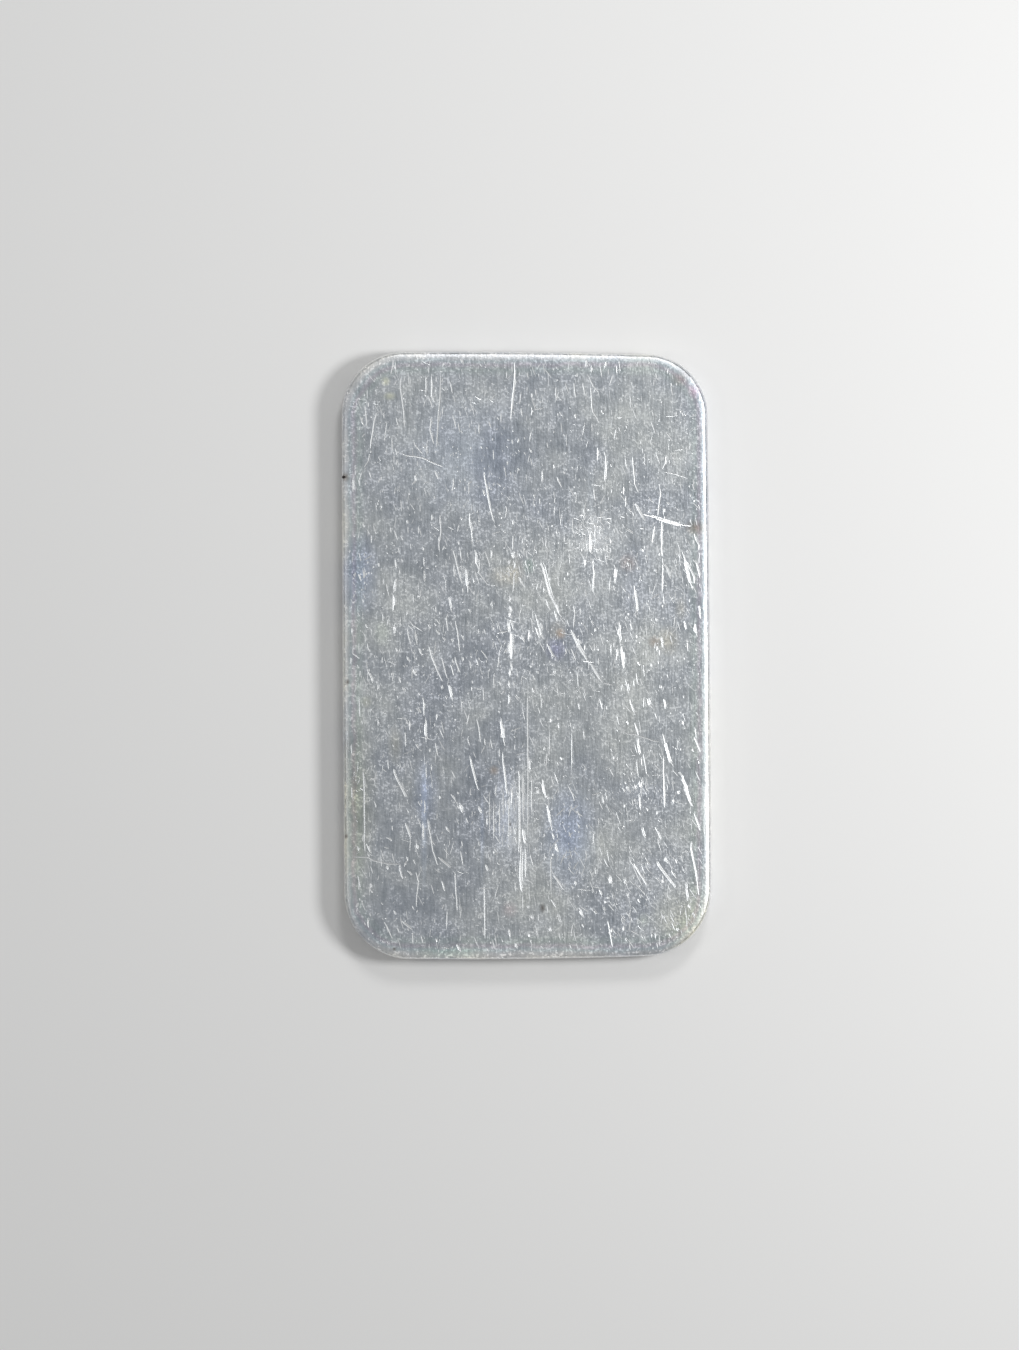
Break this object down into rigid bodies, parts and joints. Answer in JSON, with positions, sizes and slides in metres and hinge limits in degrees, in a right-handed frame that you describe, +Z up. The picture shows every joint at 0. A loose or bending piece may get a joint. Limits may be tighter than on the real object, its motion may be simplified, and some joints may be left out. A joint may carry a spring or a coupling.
{
  "type": "metal ingot",
  "caption": "Small flat silver bar with large rounded corners, barrel sides and a worn, scratched face; a one-ounce unit of raw precious metal stock.",
  "frame": {"origin": "middle of the underside, at the centre of the bar's outline; the bar lies flat on z = 0", "axes": "+X across the bar's width, +Y along its length towards the head end, +Z up, out of the worn face"},
  "size_m": [0.03, 0.0492, 0.0021],
  "materials": {
    "silver": "satin"
  },
  "bodies": {
    "root": {"ingot": "silver"}
  },
  "joints": []
}
